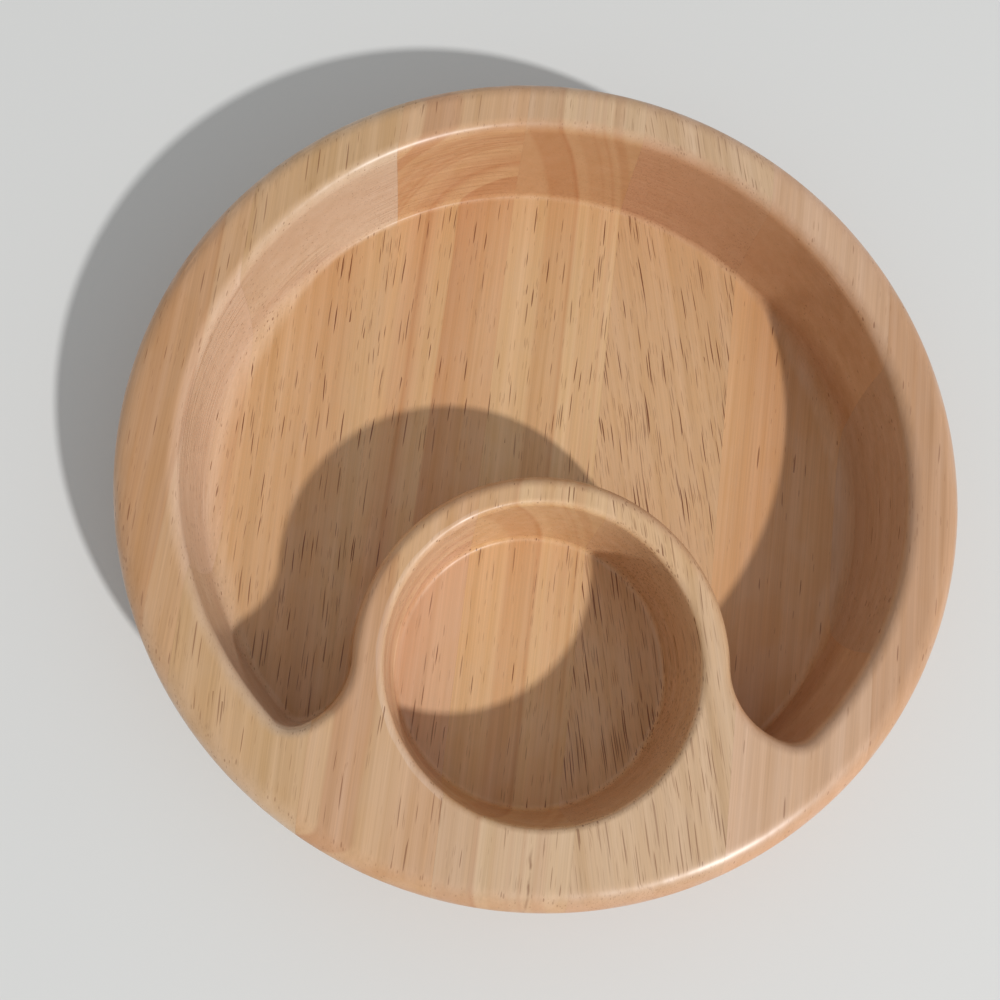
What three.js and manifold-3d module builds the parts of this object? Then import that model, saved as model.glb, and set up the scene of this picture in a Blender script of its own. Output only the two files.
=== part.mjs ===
// Round wooden chip and dip bowl carved from a blank of seven glued staves.
// Millimetres, +Z up. The base lies on z = 0, the bowl's axis is the z axis and the dip well is towards -y.
import * as THREE from "three";
import { mergeVertices } from "three/addons/utils/BufferGeometryUtils.js";
import Module from "manifold-3d";

// Outside of the bowl
const bowlRadius = 150;
const bowlHeight = 59.5;
const rimRound = 8;
const footRound = 14;
const footSetback = 19;

// Both hollows share one floor level, one floor fillet and one overcut above the rim.
const baseThickness = 12;
const floorFillet = 2.5;
const overcut = 4;

// Crescent chip compartment: its mouth sits a little off the middle of the bowl, the floor fillet is sanded wider
// along the sides, and its horns end either side of the cup in a wide flank and a small tip.
const rimWidth = 17;
const mouthShiftRight = 1.7;
const mouthShiftBack = 0.9;
const chipEdgeRound = 4.5;
const chipWallLean = 2.5;
const sideFillet = 8;
const hornFlankRadius = 20;
const hornTipRadius = 4;
const hornBite = 9.3;

// Dip well, and the flat top of the cup wall round it
const frontRimWidth = 25;
const wellMouthRadius = 56.4;
const wellEdgeRound = 2.5;
const wellWallLean = 2.4;
const cupTopWidth = 3.7;

// Glued staves: the two at the rim, then the boards between them, which are ripped to fill the blank
const leftRimStaveWidth = 33.5;
const rightRimStaveWidth = 31;
const leftBoard = 48.5;
const leftCenterBoard = 46;
const centerBoard = 44.3;
const rightCenterBoard = 50.2;
const rightBoard = 46.5;
const grainTurnDegrees = 5.25;
const glueGap = 0.3;

// Smoothness: steps per full turn, per quarter turn of a small round, down a wall, and per arc of the crescent
const bodyTurnSteps = 96;
const wellTurnSteps = 64;
const roundSteps = 4;
const wallSteps = 3;
const rimArcSteps = 32;
const tipArcSteps = 6;
const flankArcSteps = 8;
const cupArcSteps = 16;

const { smoothstep } = THREE.MathUtils;
const quarterTurn = Math.PI / 2;
const mergeDistance = 1e-4;

// Places that follow from the sizes
const baseRadius = bowlRadius - footSetback;
const wellCentre = new THREE.Vector2(0, frontRimWidth + wellMouthRadius - bowlRadius);
const rimEdgeRadius = bowlRadius - rimWidth;
const cupEdgeRadius = wellMouthRadius + cupTopWidth;
const chipWallDepth = chipEdgeRound + chipWallLean + floorFillet;
const chipLevels = wallLevels(chipEdgeRound, chipWallLean, floorFillet);
const flankCentre = hornFlankCentre();

const wasm = await Module();
wasm.setup();

function solidFrom(geometry) {
  const bare = geometry.index ? geometry.toNonIndexed() : geometry.clone();
  bare.deleteAttribute("normal");
  bare.deleteAttribute("uv");
  const merged = mergeVertices(bare, mergeDistance);
  const mesh = new wasm.Mesh({
    numProp: 3,
    vertProperties: merged.attributes.position.array,
    triVerts: new Uint32Array(merged.index.array),
  });
  return new wasm.Manifold(mesh);
}

function geometryFrom(solid) {
  const mesh = solid.getMesh();
  const geometry = new THREE.BufferGeometry();
  geometry.setAttribute("position", new THREE.BufferAttribute(mesh.vertProperties, 3));
  geometry.setIndex(new THREE.BufferAttribute(mesh.triVerts, 1));
  geometry.computeVertexNormals();
  return geometry;
}

function turned(profile, steps) {
  const lathe = new THREE.LatheGeometry(profile, steps);
  return lathe.rotateX(quarterTurn);
}

// The outside: flat base, rounded foot, a straight side that leans out, rounded rim and flat top.
function bodyGeometry() {
  const foot = new THREE.Vector2(baseRadius, footRound);
  const rim = new THREE.Vector2(bowlRadius - rimRound, bowlHeight - rimRound);
  const between = rim.clone().sub(foot);
  const sideNormal = between.angle() - Math.acos((footRound - rimRound) / between.length());
  const profile = new THREE.Path();
  profile.moveTo(0, 0);
  profile.lineTo(baseRadius, 0);
  profile.absarc(foot.x, foot.y, footRound, -quarterTurn, sideNormal, false);
  profile.absarc(rim.x, rim.y, rimRound, sideNormal, quarterTurn, false);
  profile.lineTo(0, bowlHeight);
  return turned(profile.getPoints(roundSteps), bodyTurnSteps);
}

// The levels of a carved wall from the overcut down to the floor: edge round, hollow wall and floor fillet.
// Each level holds its height and how far the wall has come in from the rim edge.
function wallLevels(edgeRound, lean, fillet) {
  const wallTop = bowlHeight - edgeRound;
  const slope = Math.atan2(2 * lean, wallTop - baseThickness - fillet);
  const wallFoot = baseThickness + fillet * (1 - Math.sin(slope));
  const levels = [{ height: bowlHeight + overcut, inset: 0 }];
  for (let step = 0; step <= roundSteps; step++) {
    const angle = (quarterTurn * step) / roundSteps;
    const drop = edgeRound * (1 - Math.cos(angle));
    levels.push({ height: bowlHeight - drop, inset: edgeRound * Math.sin(angle) });
  }
  for (let step = 1; step < wallSteps; step++) {
    const share = step / wallSteps;
    const height = wallTop + (wallFoot - wallTop) * share;
    levels.push({ height, inset: edgeRound + lean * share ** 2 });
  }
  for (let step = 0; step <= roundSteps; step++) {
    const angle = slope + ((quarterTurn - slope) * step) / roundSteps;
    const rise = fillet * (1 - Math.sin(angle));
    const reach = fillet * (Math.cos(slope) - Math.cos(angle));
    levels.push({ height: baseThickness + rise, inset: edgeRound + lean + reach });
  }
  return levels;
}

function wellGeometry() {
  const levels = wallLevels(wellEdgeRound, wellWallLean, floorFillet);
  const wall = levels.map(({ height, inset }) => new THREE.Vector2(wellMouthRadius - inset, height));
  const bottom = new THREE.Vector2(0, baseThickness);
  const top = new THREE.Vector2(0, bowlHeight + overcut);
  const profile = [bottom, ...wall.reverse(), top];
  return turned(profile, wellTurnSteps).translate(wellCentre.x, wellCentre.y, 0);
}

function arcPoints(centre, radius, from, to, steps) {
  const clockwise = to < from;
  const arc = new THREE.EllipseCurve(centre.x, centre.y, radius, radius, from, to, clockwise);
  return arc.getPoints(steps);
}

// Where two circles meet, to the left of the way from the first centre to the second
function meetingPoint(first, firstRadius, second, secondRadius) {
  const way = second.clone().sub(first);
  const span = way.length();
  const along = (firstRadius ** 2 - secondRadius ** 2 + span ** 2) / (2 * span);
  const aside = Math.sqrt(firstRadius ** 2 - along ** 2);
  way.divideScalar(span);
  const left = new THREE.Vector2(-way.y, way.x);
  return first.clone().addScaledVector(way, along).addScaledVector(left, aside);
}

// The flank of the right-hand horn touches the cup wall and bites a little way past the rim wall.
function hornFlankCentre() {
  const middle = new THREE.Vector2(0, 0);
  const fromMiddle = rimEdgeRadius - chipWallDepth - hornFlankRadius + hornBite;
  const fromWell = cupEdgeRadius + chipWallDepth + hornFlankRadius;
  return meetingPoint(middle, fromMiddle, wellCentre, fromWell);
}

// The rim wall's levels at a share of the way from the far point to the horn: the fillet is wide in between.
function rimLevels(share) {
  const wide = smoothstep(share, 0.29, 0.47) - smoothstep(share, 0.8, 0.95);
  return wallLevels(chipEdgeRound, chipWallLean, floorFillet + (sideFillet - floorFillet) * wide);
}

// Half of the crescent's outline at one level, from the far point of the rim round the horn to the cup.
// The left-hand half is worked out as its mirror image, where the mouth is shifted the other way.
function halfOutline(level, side) {
  const { height, inset } = chipLevels[level];
  const upTheWall = Math.min((height - baseThickness) / (bowlHeight - baseThickness), 1);
  const middle = new THREE.Vector2(side * mouthShiftRight, mouthShiftBack).multiplyScalar(upTheWall);
  const growth = chipWallDepth - inset;
  const rimRadius = rimEdgeRadius - inset;
  const cupRadius = cupEdgeRadius + inset;
  const flankRadius = hornFlankRadius + growth;
  const tipRadius = hornTipRadius + growth;
  const tipCentre = meetingPoint(flankCentre, flankRadius - tipRadius, middle, rimRadius - tipRadius);
  const tipStart = tipCentre.clone().sub(middle);
  const tipEnd = tipCentre.clone().sub(flankCentre);
  const cupStart = flankCentre.clone().sub(wellCentre);
  const tipStartAngle = Math.atan2(tipStart.y, tipStart.x);
  const tipEndAngle = Math.atan2(tipEnd.y, tipEnd.x);
  const cupStartAngle = Math.atan2(cupStart.y, cupStart.x);
  const rimArc = [];
  for (let step = 0; step < rimArcSteps; step++) {
    const share = step / rimArcSteps;
    const angle = quarterTurn + (tipStartAngle - quarterTurn) * share;
    const here = rimLevels(share)[level];
    const radius = rimEdgeRadius - here.inset;
    const x = middle.x + radius * Math.cos(angle);
    const y = middle.y + radius * Math.sin(angle);
    rimArc.push(new THREE.Vector3(x, y, here.height));
  }
  const otherArcs = [
    ...arcPoints(tipCentre, tipRadius, tipStartAngle, tipEndAngle, tipArcSteps),
    ...arcPoints(flankCentre, flankRadius, tipEndAngle, cupStartAngle - Math.PI, flankArcSteps).slice(1),
    ...arcPoints(wellCentre, cupRadius, cupStartAngle, quarterTurn, cupArcSteps).slice(1),
  ];
  return [...rimArc, ...otherArcs.map((point) => new THREE.Vector3(point.x, point.y, height))];
}

function fullOutline(level) {
  const right = halfOutline(level, 1);
  const left = halfOutline(level, -1).slice(1, -1).reverse();
  const mirrored = left.map((point) => new THREE.Vector3(-point.x, point.y, point.z));
  return [...right, ...mirrored];
}

// The crescent is one closed skin over the stacked outlines, with a flat floor and a flat lid.
function crescentGeometry() {
  const outlines = chipLevels.map((_, level) => fullOutline(level));
  const count = outlines[0].length;
  const positions = outlines.flat().flatMap((point) => [point.x, point.y, point.z]);
  const faces = [];
  for (let level = 0; level + 1 < outlines.length; level++) {
    for (let i = 0; i < count; i++) {
      const next = (i + 1) % count;
      const upper = level * count;
      const lower = upper + count;
      faces.push(upper + i, upper + next, lower + i);
      faces.push(upper + next, lower + next, lower + i);
    }
  }
  const floorStart = (outlines.length - 1) * count;
  for (const [a, b, c] of THREE.ShapeUtils.triangulateShape(outlines[0], [])) {
    faces.push(a, b, c);
  }
  for (const [a, b, c] of THREE.ShapeUtils.triangulateShape(outlines.at(-1), [])) {
    faces.push(floorStart + c, floorStart + b, floorStart + a);
  }
  const geometry = new THREE.BufferGeometry();
  geometry.setAttribute("position", new THREE.Float32BufferAttribute(positions, 3));
  geometry.setIndex(faces);
  return geometry;
}

// A slab of the glued blank between two joints, turned to the direction of the grain.
function slabGeometry(from, to) {
  const length = 2 * (bowlRadius + overcut);
  const height = bowlHeight + 2 * overcut;
  const slab = new THREE.BoxGeometry(to - from, length, height);
  slab.translate((from + to) / 2, 0, bowlHeight / 2);
  return slab.rotateZ(-THREE.MathUtils.degToRad(grainTurnDegrees));
}

// The places of the joints across the grain, with the outer faces of the two rim staves at the ends.
function staveEdges() {
  const boards = [leftBoard, leftCenterBoard, centerBoard, rightCenterBoard, rightBoard];
  const fill = 2 * bowlRadius - leftRimStaveWidth - rightRimStaveWidth;
  const asSawn = boards.reduce((sum, width) => sum + width, 0);
  const joints = [leftRimStaveWidth - bowlRadius];
  for (const width of boards) {
    joints.push(joints.at(-1) + (width * fill) / asSawn);
  }
  return [-bowlRadius - overcut, ...joints, bowlRadius + overcut];
}

const blank = solidFrom(bodyGeometry());
const carved = blank.subtract(solidFrom(wellGeometry())).subtract(solidFrom(crescentGeometry()));

// Lacquered wood from left to right
const staves = [
  { name: "left_rim_stave", color: "#bf946d" },
  { name: "left_stave", color: "#c7976e" },
  { name: "left_center_stave", color: "#c1926a" },
  { name: "center_stave", color: "#c79c73" },
  { name: "right_center_stave", color: "#c59b75" },
  { name: "right_stave", color: "#be8e65" },
  { name: "right_rim_stave", color: "#bb9071" },
];

const bowl = new THREE.Group();
bowl.name = "chip_and_dip_bowl";
const edges = staveEdges();
staves.forEach(({ name, color }, i) => {
  const slab = slabGeometry(edges[i] + glueGap / 2, edges[i + 1] - glueGap / 2);
  const wood = new THREE.MeshStandardMaterial({ color, roughness: 0.42, metalness: 0 });
  const stave = new THREE.Mesh(geometryFrom(carved.intersect(solidFrom(slab))), wood);
  stave.name = name;
  bowl.add(stave);
});

export default bowl;
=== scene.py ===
"""Round wooden chip and dip bowl.

Seven glued staves, carved with a crescent for chips and a round well for dip.
"""

from math import acos, atan2, cos, pi, radians, sin, sqrt

import bmesh
import bpy
from mathutils import Matrix, Vector


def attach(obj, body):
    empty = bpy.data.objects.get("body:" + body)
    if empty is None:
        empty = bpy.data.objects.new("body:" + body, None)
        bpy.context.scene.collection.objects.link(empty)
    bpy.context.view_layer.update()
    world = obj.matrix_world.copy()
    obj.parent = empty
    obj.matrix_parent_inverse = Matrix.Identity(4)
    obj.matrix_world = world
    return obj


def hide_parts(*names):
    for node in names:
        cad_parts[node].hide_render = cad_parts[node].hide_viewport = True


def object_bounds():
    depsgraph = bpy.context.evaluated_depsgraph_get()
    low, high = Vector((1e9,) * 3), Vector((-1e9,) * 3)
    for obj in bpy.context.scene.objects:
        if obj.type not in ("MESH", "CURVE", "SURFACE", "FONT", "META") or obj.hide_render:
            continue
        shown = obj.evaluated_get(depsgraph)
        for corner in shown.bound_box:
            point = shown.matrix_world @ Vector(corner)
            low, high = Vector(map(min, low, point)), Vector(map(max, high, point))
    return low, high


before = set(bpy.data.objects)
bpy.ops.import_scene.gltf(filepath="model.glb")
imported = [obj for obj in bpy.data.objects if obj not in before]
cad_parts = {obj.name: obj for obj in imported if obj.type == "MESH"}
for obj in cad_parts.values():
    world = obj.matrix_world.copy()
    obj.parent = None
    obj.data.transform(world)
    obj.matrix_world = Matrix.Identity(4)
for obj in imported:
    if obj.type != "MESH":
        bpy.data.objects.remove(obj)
CAD_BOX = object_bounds()

bl_info = {
    "name": "Chip and Dip Bowl",
    "version": (1, 0, 0),
    "blender": (4, 5, 0),
    "location": "3D View > Sidebar > Bowl",
    "description": "Carves a wooden bowl from glued staves and sets it on a plain stage",
    "category": "Add Mesh",
}

BODY = "root"
MM = 0.001
UP = Vector((0, 0, 1))
ALONG_Y = Vector((0, 1, 0))

# Steps round the bowl and the well, across a round edge, down a side, and along the crescent's arcs
BODY_STEPS = 288
WELL_STEPS = 192
EDGE_STEPS = 12
SIDE_STEPS = 6
RIM_ARC_STEPS = 120
TIP_ARC_STEPS = 14
FLANK_ARC_STEPS = 26
CUP_ARC_STEPS = 60
# Where the wide side fillet fades in and out, as shares of the way from the far rim to a horn
SIDE_START = (0.29, 0.47)
SIDE_END = (0.8, 0.95)
# A narrow ring that keeps the flat faces flat where they meet a round edge
SUPPORT = 0.0005
# Points this close become one, and points this close to a height or a joint lie on it
MERGE = 1e-7
SNAP = 2e-6
# A face this square to an axis is flat, and flat faces within this angle of each other become one
LEVEL = 0.999999
FLAT = radians(0.05)

# What the mesh says of its wood at each point, from 0 to 1
MASKS = ("end_grain", "rim_top", "round_edge", "floor_edge", "wall", "in_well")
# Where a stave's colour is toned, partly as painted light: name of the sockets, mask, and key in
# the table of staves
TONED_PLACES = (
    # End grain's tone is its own darker tone plus painted shade, the rim top's a painted sky
    # reflection, the wall's painted sheen and painted shade
    ("End", "end_grain", "end_grain"),
    ("Rim", "rim_top", "rim"),
    ("Painted Wall Light", "wall", "wall"),
    ("Well", "in_well", "well"),
)
# How much of the tone of end grain shows inside the well
WELL_END_GRAIN = 0.25
# How much of the rim top's painted sky reflection, and of its fainter pores, is left off the far
# side of the cup top, and over what length it fades
CUP_LESS_PAINTED_REFLECTION = 0.7
CUP_RUN = 0.04

# Cells of the wood's noises in millimetres: across the board, along the grain and up
RING_DRIFT_CELLS = (38, 95, 38)
FINE_CELLS = (0.55, 60, 0.55)
BROAD_CELLS = (4.2, 260, 4.2)
PORE_BEND_CELLS = (26, 34, 26)
PORE_CROWD_CELLS = (16, 60, 30)
STREAK_CROOK_CELLS = (40, 9, 40)
STREAK_BREAK_CELLS = (3, 5, 3)
MARK_CELLS = (90, 90, 1.9)
MARK_PATCH_CELLS = (46, 46, 70)
TORN_CELLS = (1.1, 1.1, 1.1)
WEAR_CELLS = (9, 16, 9)
# Levels of a noise between which an effect goes from none to full
NOISE_MIDDLE = 0.5
PORE_CROWD_RANGE = (0.3, 0.7)
STREAK_BREAK_RANGE = (0.35, 0.6)
MARK_PATCH_RANGE = (0.4, 0.6)
TORN_RANGE = (0.52, 0.64)
WEAR_RANGE = (0.38, 0.62)
# Drift of the rings for one millimetre of wander, bend of the pores, and crook and fade of a streak
RING_DRIFT = 3.0
PORE_BEND = 2.2
STREAK_CROOK = 3.0
STREAK_FADE = (-1.0, 6.0)
# What sparse and crowded places make of the share of open pores
PORE_CROWDS = (0.5, 1.6)
# Long dashes and short flecks: spacing, length and strength, as shares of the stave's own
PORE_LAYERS = ((1.0, 1.0, 1.0), (0.7, 0.4, 0.45))
# Least width of a pore and spread of widths, as shares of its cell, and where its dark core starts
PORE_WIDTH = 0.17
PORE_WIDTH_SPREAD = 0.26
PORE_CORE = 0.65
# Darkness of the faintest pore
PORE_FAINTEST = 0.5
# Depth of the cutter's marks at strength 1
MARK_DEPTH = 0.4 * MM
# Share of the streaks and pores that end grain hides
END_GRAIN_CALM = 0.7
# What streaks and round edges add to the wood's value, and broad streaks to its depth of colour
FINE_VALUE = 0.32
BROAD_VALUE = 0.36
EDGE_VALUE = 0.03
BROAD_DEPTH = -0.25
NEUTRAL_HUE = 0.5
# Darkness of pores, how much fainter they are on the rim top, and darkness of torn grain by the
# floor
PORE_DARKNESS = 0.9
RIM_PORES_FAINTER = 0.35
TORN_DARKNESS = 0.18
# What pores, end grain and fine streaks add to the roughness
PORE_ROUGHNESS = 0.2
END_ROUGHNESS = 0.08
FINE_ROUGHNESS = 0.12
# Lacquer left where it is worn thin, and how much is missing at the floor's edge
WORN_LACQUER = 0.5
BARE_FLOOR_EDGE = 0.9

# Gloss of the sanded wood and the floor, the floor's roughness, and its gap below the base
DULL_GLOSS = 0.1
FLOOR_ROUGHNESS = 0.85
FLOOR_DROP = 0.0002
# The camera's sensor in millimetres and the nearest thing it sees in metres
SENSOR_WIDTH = 36
NEAREST = 0.01


def linear(code):
    """Turn a colour code into the linear colour that a shader takes."""
    parts = [int(code[i:i + 2], 16) / 255 for i in (1, 3, 5)]
    return tuple(p / 12.92 if p <= 0.04045 else ((p + 0.055) / 1.055) ** 2.4 for p in parts)


# The staves from left to right, seen from the well, in millimetres and degrees:
# joints: where its two glue joints are, across the grain
# pale and deep: the colours of its bands
# pith: the middle of the tree's rings, across and up
# lean and wander: how far its grain leans from the joints and its rings wander
# pores, pore_length and pore_spacing: the share of pores that are open, and how far apart they lie
# marks: the strength of the cutter's marks
# streaks: mineral lines, each with its place across, its two ends and its width
# end_grain, rim, wall and well: value and depth of colour there, as shares of the plain wood's:
# on end grain its own darker tone plus painted shade on the far wall towards the right,
# on the rim top a painted sky reflection in its duller lacquer, less saturated and a little darker,
# on the walls painted sheen on the left and painted shade on the right, and in the well its own
# tone
# end_hue: shift of the hue on end grain, a painted pinker shade
# bands: ring radius and tone, from 0 deep to 1 pale
STAVES = {
    "left_rim_stave": {
        "slot": "reddish_wood", "joints": (-154, -116.5), "pale": "#cba27a", "deep": "#bb8a60",
        "pith": (50, 40), "lean": 1.0, "wander": 1.5,
        "pores": 0.20, "pore_length": 16, "pore_spacing": 0.8, "marks": 2, "streaks": (),
        "end_grain": (1.0, 0.9), "rim": (0.92, 1.0), "wall": (1.1, 0.8), "well": (1.0, 1.0),
        "end_hue": 0.0,
        "bands": ((166, .75), (177.2, .8), (178, .2), (184, .35), (190, .15), (197, .4), (202, .3)),
    },
    "left_stave": {
        "slot": "warm_wood", "joints": (-116.5, -68), "pale": "#cca67b", "deep": "#c3956a",
        "pith": (-140, -120), "lean": -1.5, "wander": 3.0,
        "pores": 0.32, "pore_length": 22, "pore_spacing": 0.8, "marks": 1.7, "streaks": (),
        "end_grain": (1.0, 0.82), "rim": (0.88, 1.0), "wall": (1.02, 0.88), "well": (1.0, 1.0),
        "end_hue": 0.0,
        "bands": ((136, .6), (139, .4), (142, .25), (145, .3), (147, .6), (150, .75), (153, .65),
                  (165, .5), (175, .4), (184, .7), (188, .9), (192, .75), (196, .85)),
    },
    "left_center_stave": {
        "slot": "orange_wood", "joints": (-68, -22), "pale": "#cfa578", "deep": "#c08d62",
        "pith": (-20, -5), "lean": 0.5, "wander": 1.2,
        "pores": 0.22, "pore_length": 22, "pore_spacing": 0.8, "marks": 1.5, "streaks": (),
        "end_grain": (0.9, 1.03), "rim": (0.94, 0.92), "wall": (1.0, 0.98), "well": (1.07, 0.88),
        "end_hue": -0.004,
        "bands": ((19.5, .5), (22, .3), (26.5, .15), (30.2, .05), (30.9, 1), (36, .85), (38.3, .45),
                  (40.3, 0), (41.6, .45), (45, .5), (47.5, .85), (52, .9), (53, .3), (54.5, .7),
                  (56, .2), (58, .65), (60, .3), (62, .7), (64.5, .4), (67, .75), (69.6, .8),
                  (70.4, .2), (75.4, .15), (76.2, .9), (79.5, .8), (83, .5)),
    },
    "center_stave": {
        "slot": "pale_wood", "joints": (-22, 22.3), "pale": "#d2ab7e", "deep": "#c29265",
        "pith": (-216, -26), "lean": 0.0, "wander": 0.8,
        "pores": 0.22, "pore_length": 20, "pore_spacing": 0.8, "marks": 0.6,
        "streaks": ((9, -128, -152, 0.8),),
        "end_grain": (0.81, 1.06), "rim": (0.93, 0.86), "wall": (1.0, 1.0), "well": (1.02, 1.0),
        "end_hue": -0.01,
        "bands": ((198, .75), (200, .8), (211, .85), (213, .35), (222, .45), (223.7, .05),
                  (225, .95), (228, 1), (229.5, .7), (233.5, .75), (234.5, .5), (235.5, .75),
                  (237.5, .8), (238.4, .4), (239.4, .8), (241, 1), (242.7, .45), (245, .5),
                  (246.5, .95), (254, .9)),
    },
    "right_center_stave": {
        "slot": "open_pored_wood", "joints": (22.3, 72.5), "pale": "#d2ab80", "deep": "#c4986f",
        "pith": (60, -150), "lean": -13.0, "wander": 2.0,
        "pores": 1.0, "pore_length": 30, "pore_spacing": 0.82, "marks": 0.6, "streaks": (),
        "end_grain": (0.8, 1.06), "rim": (0.9, 0.9), "wall": (1.0, 1.0), "well": (1.0, 1.0),
        "end_hue": -0.016,
        "bands": ((164.4, .45), (165.5, .6), (168, .75), (172, .6), (190, .6), (212, .85),
                  (216, .95), (220, .85)),
    },
    "right_stave": {
        "slot": "smooth_wood", "joints": (72.5, 119), "pale": "#d5a77a", "deep": "#c49165",
        "pith": (150, -90), "lean": 1.0, "wander": 2.5,
        "pores": 0.07, "pore_length": 15, "pore_spacing": 0.9, "marks": 0.8, "streaks": (),
        "end_grain": (0.88, 1.0), "rim": (0.92, 0.84), "wall": (0.94, 1.0), "well": (1.0, 1.0),
        "end_hue": -0.008,
        "bands": ((109, .3), (114, .05), (117, .05), (120, .15), (124, .45), (129, .85),
                  (134, .55), (140, .4), (155, .4), (160, .6), (171, .6)),
    },
    "right_rim_stave": {
        "slot": "pinkish_wood", "joints": (119, 154), "pale": "#c99f7b", "deep": "#b98b67",
        "pith": (-40, 20), "lean": 0.0, "wander": 2.0,
        "pores": 0.10, "pore_length": 14, "pore_spacing": 0.9, "marks": 0.8, "streaks": (),
        "end_grain": (1.0, 1.0), "rim": (0.94, 0.98), "wall": (0.92, 1.0), "well": (1.0, 1.0),
        "end_hue": 0.0,
        "bands": ((158, .5), (163, .35), (170, .5), (176, .3), (185, .45), (192, .4)),
    },
}


def length(name, description, default):
    """A length property with a sensible slider."""
    return bpy.props.FloatProperty(
        name=name, description=description, default=default, min=0, unit="LENGTH", precision=4
    )


def colour(name, description, default):
    """A colour property."""
    return bpy.props.FloatVectorProperty(
        name=name, description=description, default=default, size=3, min=0, max=1, subtype="COLOR"
    )


def factor(name, description, default):
    """A property from 0 to 1."""
    return bpy.props.FloatProperty(
        name=name, description=description, default=default, min=0, max=1, subtype="FACTOR"
    )


def angle(name, description, degrees):
    """An angle property, with its default in degrees."""
    return bpy.props.FloatProperty(
        name=name, description=description, default=radians(degrees), subtype="ANGLE"
    )


def position(name, description, default):
    """A property for a place in the scene."""
    return bpy.props.FloatVectorProperty(
        name=name, description=description, default=default, size=3, subtype="TRANSLATION"
    )


class BOWL_PG_shape(bpy.types.PropertyGroup):
    """Sizes of the bowl"""

    bowl_radius: length(
        "Bowl radius", "From the middle to the widest point of the rim",
        (CAD_BOX[1].x - CAD_BOX[0].x) / 2,
    )
    bowl_height: length("Bowl height", "From the table to the top of the rim", CAD_BOX[1].z)
    rim_round: length("Rim round", "Radius of the outer edge of the rim", 0.008)
    foot_round: length("Foot round", "Radius between the base and the side", 0.014)
    foot_setback: length("Foot setback", "How far the flat base stays inside the rim", 0.019)
    floor_level: length("Floor level", "Thickness of wood under both hollows", 0.012)
    floor_fillet: length("Floor fillet", "Radius where the walls meet the floor", 0.0025)
    rim_width: length("Rim width", "Width of the rim round the chip compartment", 0.017)
    mouth_shift: bpy.props.FloatVectorProperty(
        name="Mouth shift", description="How far the chip compartment's mouth is off the middle",
        default=(0.0017, 0.0009), size=2, unit="LENGTH", precision=4,
    )
    chip_edge_round: length("Chip edge round", "Radius of the chip compartment's edge", 0.0045)
    chip_wall_lean: length(
        "Chip wall lean", "How far the chip compartment's walls come in towards the floor", 0.0025
    )
    side_fillet: length(
        "Side fillet", "Radius where the outer wall meets the floor along the sides", 0.008
    )
    horn_flank_radius: length(
        "Horn flank radius", "Radius of the wide end of the crescent beside the cup", 0.02
    )
    horn_tip_radius: length(
        "Horn tip radius", "Radius of the small corner at the end of the crescent", 0.004
    )
    horn_bite: length("Horn bite", "How far the flank reaches past the outer wall", 0.0093)
    front_rim_width: length("Front rim width", "Width of the rim in front of the dip well", 0.025)
    well_mouth_radius: length("Well mouth radius", "Radius of the mouth of the dip well", 0.0564)
    well_edge_round: length("Well edge round", "Radius of the edge of the dip well", 0.0025)
    well_wall_lean: length(
        "Well wall lean", "How far the wall of the well comes in towards its floor", 0.0024
    )
    cup_top_width: length("Cup top width", "Width of the flat top of the cup", 0.0037)
    glue_line: length("Glue line", "Width of the joint between two staves", 0.00002)
    grain_turn: angle("Grain turn", "Angle between the grain and the line through the well", 5.25)


class BOWL_PG_finish(bpy.types.PropertyGroup):
    """Finish that all the staves share"""

    pore_colour: colour("Pore colour", "Open pores along the grain", linear("#642b04"))
    lacquer_roughness: factor("Lacquer roughness", "Roughness of the clear lacquer", 0.35)
    lacquer_weight: factor("Lacquer weight", "How much of the wood the clear lacquer covers", 1.0)
    wood_roughness: factor("Wood roughness", "Roughness of the sanded wood under the lacquer", 0.46)


class BOWL_PG_stage(bpy.types.PropertyGroup):
    """Floor, light and camera"""

    floor_colour: colour("Floor colour", "Plain pale floor", linear("#d5d5d3"))
    floor_size: length("Floor size", "Half the width of the floor", 4.0)
    sky_colour: colour("Sky colour", "Tint of the even light from all round", (0.96, 0.98, 1.0))
    sky_strength: bpy.props.FloatProperty(
        name="Sky strength", description="Even light from all round", default=0.5, min=0
    )
    key_power: bpy.props.FloatProperty(
        name="Key power", description="Soft lamp in front on the right", default=192.0, min=0,
        unit="POWER",
    )
    key_size: length("Key size", "Width of the soft lamp", 0.2)
    key_place: position("Key place", "Where the soft lamp stands", (2.34, -2.83, 3.39))
    camera_place: position(
        "Camera place", "Where the camera stands", (-0.0419, -0.0967, 0.4427)
    )
    camera_turn: bpy.props.FloatVectorProperty(
        name="Camera turn", description="How the camera is turned", size=3, subtype="EULER",
        default=(radians(12.100), radians(-4.129), radians(1.506)),
    )
    camera_lens: bpy.props.FloatProperty(
        name="Camera lens", description="Focal length in millimetres", default=40.93, min=1
    )


# Carving


def swept(bm, start, centre, axis, turn, steps):
    """Sweep a vertex round a centre and return the last vertex of the arc."""
    arc = bmesh.ops.spin(
        bm, geom=[start], cent=centre, axis=axis, angle=turn, steps=steps, use_merge=False
    )
    return next(g for g in arc["geom_last"] if isinstance(g, bmesh.types.BMVert))


def drawn(bm, start, end):
    """Draw a straight edge from a vertex and return its far end."""
    line = bmesh.ops.extrude_vert_indiv(bm, verts=[start])
    bmesh.ops.translate(bm, verts=line["verts"], vec=Vector(end) - start.co)
    return line["verts"][0]


def turned(bm, profile, centre, steps):
    """Turn a profile once round an upright axis."""
    edges = [edge for edge in bm.edges if edge.is_wire]
    bmesh.ops.spin(
        bm, geom=profile + edges, cent=centre, axis=UP, angle=2 * pi, steps=steps, use_merge=True
    )


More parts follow.
